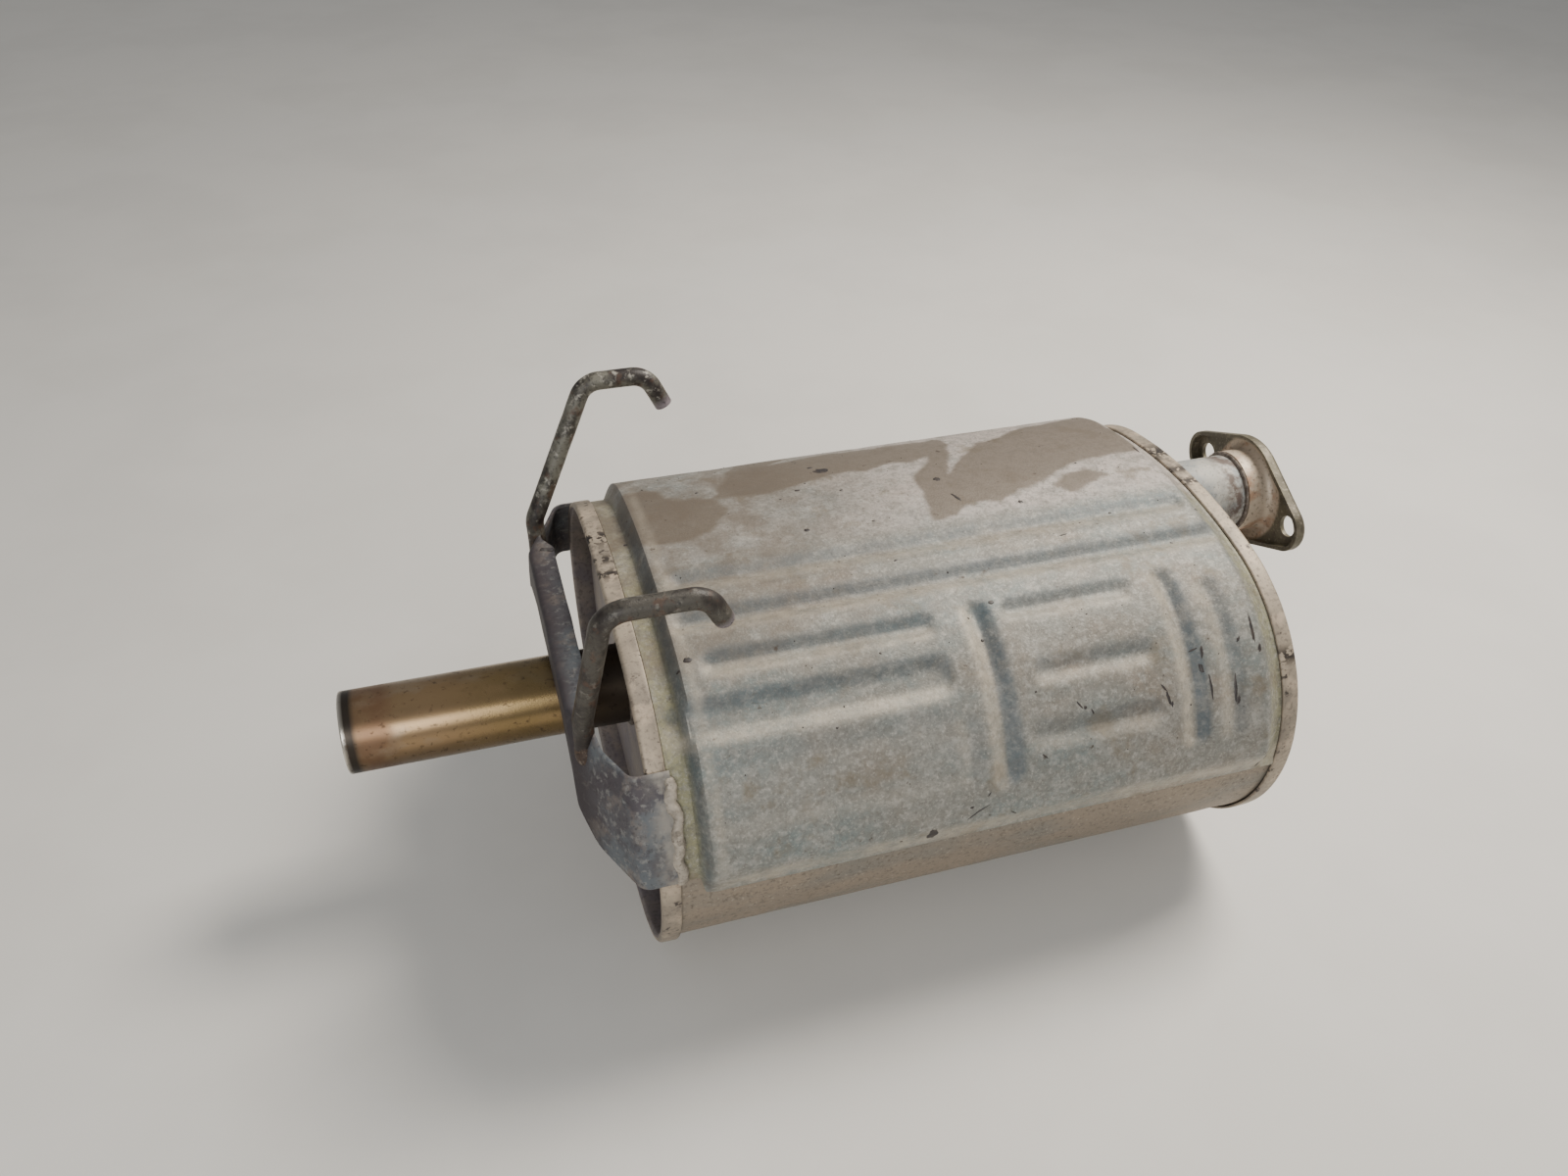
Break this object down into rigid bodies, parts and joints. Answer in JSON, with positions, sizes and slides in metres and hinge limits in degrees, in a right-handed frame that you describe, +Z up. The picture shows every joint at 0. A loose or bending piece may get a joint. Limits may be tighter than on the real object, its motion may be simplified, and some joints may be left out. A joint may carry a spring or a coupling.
{
  "type": "exhaust silencer",
  "caption": "Oval rear exhaust silencer with a ribbed heat cover, rolled rims, tailpipe stub, bolted inlet flange and hanger rods on a bridge bracket.",
  "frame": {"origin": "centre of the inlet flange's bolting face, on the inlet pipe's axis", "axes": "+X out of the inlet flange along the body, +Z up towards the hanger rods, +Y to the body's rear side"},
  "size_m": [0.61, 0.3092, 0.2757],
  "materials": {
    "shell_steel": "weathered aluminised sheet, matt",
    "cover_steel": "weathered aluminised sheet with blue-grey and tan stains, matt",
    "head_steel": "weathered aluminised sheet, cream at the rolled rim, chipped",
    "pipe_stainless": "stainless with a golden-brown heat tint, satin",
    "pipe_steel": "weathered aluminised tube, matt",
    "flange_steel": "dark olive-grey scaled steel, matt",
    "bracket_steel": "purple-grey scaled steel, matt",
    "rod_steel": "dark rust-brown bar with pale patches",
    "weld_metal": "rough weld bead, dull",
    "inner_steel": "plain steel sheet, sooted"
  },
  "bodies": {
    "root": {"outer_shell": "shell_steel", "heat_cover": "cover_steel", "outlet_head": "head_steel", "inlet_head": "head_steel", "outlet_pipe": "pipe_stainless", "inlet_pipe": "pipe_steel", "inlet_flange": "flange_steel", "hanger_bracket": "bracket_steel", "hanger_rod_front": "rod_steel", "hanger_rod_rear": "rod_steel", "outlet_pipe_weld": "weld_metal", "inlet_pipe_weld": "weld_metal", "flange_weld": "weld_metal", "bracket_weld_front": "weld_metal", "bracket_weld_rear": "weld_metal", "rod_weld_front": "weld_metal", "rod_weld_rear": "weld_metal", "baffle_outlet": "inner_steel", "baffle_middle": "inner_steel", "baffle_inlet": "inner_steel", "inlet_tube": "inner_steel", "outlet_tube": "inner_steel", "return_tube": "inner_steel"}
  },
  "joints": []
}
